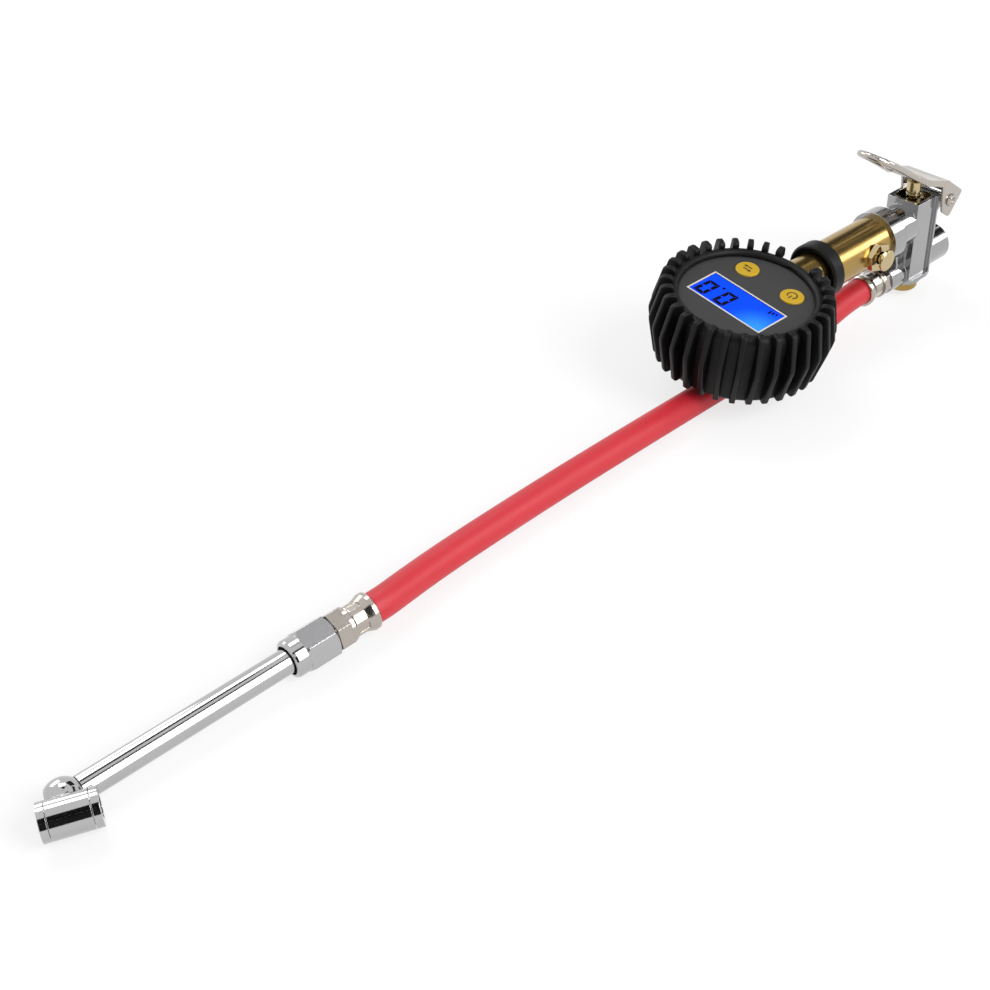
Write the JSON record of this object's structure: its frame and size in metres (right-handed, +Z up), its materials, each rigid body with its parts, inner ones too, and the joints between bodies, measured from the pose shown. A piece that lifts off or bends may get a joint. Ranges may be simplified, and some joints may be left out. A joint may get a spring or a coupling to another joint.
{
  "type": "tyre inflator with gauge",
  "caption": "Trigger tyre inflator with a digital gauge in a ribbed rubber boot, a brass barrel, a squeeze lever over a cast valve, a red hose and a dual foot chuck.",
  "frame": {"origin": "centre of the air inlet's mouth, on the inlet's axis", "axes": "+X from the inlet along the barrel to the gauge and the chuck, +Z up along the valve body to the lever, +Y to the side with the bleed valve"},
  "size_m": [0.4868, 0.0791, 0.0834],
  "materials": {
    "black_rubber": "matte moulded",
    "case_plastic": "fine grained",
    "face_plastic": "satin",
    "display_window": "clear coated blue",
    "display_body": "dark",
    "yellow_plastic": "glossy",
    "black_plastic": "satin",
    "circuit_laminate": "solder masked",
    "battery_wrap": "printed sleeve without text",
    "zinc_screws": "zinc plated",
    "spring_steel": "drawn wire",
    "lacquered_brass": "satin lacquered",
    "turned_brass": "turned",
    "pale_brass": "turned and polished",
    "plated_zinc": "chrome plated casting",
    "nickel_sheet": "nickel plated",
    "nickel_fittings": "nickel plated",
    "polished_chrome": "polished",
    "red_hose_rubber": "semi matte"
  },
  "bodies": {
    "inflator": {"gauge_boot": "black_rubber", "gauge_case": "case_plastic", "face_plate": "face_plastic", "lcd_lens": "display_window", "lcd_module": "display_body", "button_switches": "black_plastic", "circuit_board": "circuit_laminate", "pressure_sensor": "zinc_screws", "batteries": "battery_wrap", "battery_contacts": "zinc_screws", "battery_cover": "case_plastic", "battery_cover_screw": "zinc_screws", "case_screws": "zinc_screws", "stem_nut": "turned_brass", "barrel": "lacquered_brass", "barrel_ring": "black_rubber", "barrel_oring": "black_rubber", "bleed_body": "pale_brass", "bleed_spring": "spring_steel", "valve_body": "plated_zinc", "hinge_pin": "nickel_sheet", "gland_nut": "turned_brass", "gland_oring": "black_rubber", "valve_spring": "spring_steel", "bottom_cap": "lacquered_brass", "cap_gasket": "black_rubber", "inlet_strainer": "spring_steel", "rear_insert": "nickel_fittings", "rear_ferrule": "nickel_fittings", "hose": "red_hose_rubber", "front_ferrule": "nickel_fittings", "front_insert": "nickel_fittings", "coupling_washer": "black_rubber", "coupling_nut": "polished_chrome", "chuck_tube": "polished_chrome", "chuck_head": "polished_chrome", "foot_rings": "polished_chrome", "foot_seals": "black_rubber", "foot_spring": "spring_steel"},
    "lever": {"trigger_lever": "nickel_sheet"},
    "plunger": {"plunger": "turned_brass", "poppet": "turned_brass", "poppet_seal": "black_rubber"},
    "bleed_button": {"bleed_button": "pale_brass", "bleed_seal": "black_rubber"},
    "on_button": {"button_on": "yellow_plastic"},
    "unit_button": {"button_unit": "yellow_plastic"},
    "rear_foot_pin": {"foot_pin_rear": "turned_brass"},
    "front_foot_pin": {"foot_pin_front": "turned_brass"}
  },
  "joints": [
    {"name": "lever_pivot", "type": "hinge", "parent": "inflator", "child": "lever", "pos_m": [0.01, 0, 0.0287], "axis": [0, 1, 0], "range_deg": [0, 12], "stiffness_Nm_per_rad": 0.6, "springref_deg": -6.88},
    {"name": "plunger_slide", "type": "slide", "parent": "inflator", "child": "plunger", "axis": [0, 0, -1], "range_m": [0, 0.0029], "deforming": ["valve_spring"]},
    {"name": "bleed_press", "type": "slide", "parent": "inflator", "child": "bleed_button", "axis": [0, -1, 0], "range_m": [0, 0.0015], "stiffness_N_per_m": 600, "springref_m": -0.0008, "deforming": ["bleed_spring"]},
    {"name": "on_press", "type": "slide", "parent": "inflator", "child": "on_button", "axis": [0, -0.1392, -0.9903], "range_m": [0, 0.0004], "stiffness_N_per_m": 900, "springref_m": -0.0004},
    {"name": "unit_press", "type": "slide", "parent": "inflator", "child": "unit_button", "axis": [0, -0.1392, -0.9903], "range_m": [0, 0.0004], "stiffness_N_per_m": 900, "springref_m": -0.0004},
    {"name": "rear_pin_press", "type": "slide", "parent": "inflator", "child": "rear_foot_pin", "axis": [0.9272, -0.3746, 0], "range_m": [0, 0.001], "stiffness_N_per_m": 500, "springref_m": -0.0008, "deforming": ["foot_spring"]},
    {"name": "front_pin_press", "type": "slide", "parent": "inflator", "child": "front_foot_pin", "axis": [-0.9272, 0.3746, 0], "range_m": [0, 0.001], "stiffness_N_per_m": 500, "springref_m": -0.0008}
  ],
  "couplings": [
    {"joint": "plunger_slide", "follows": "lever_pivot", "m_per_rad": 0.013}
  ]
}
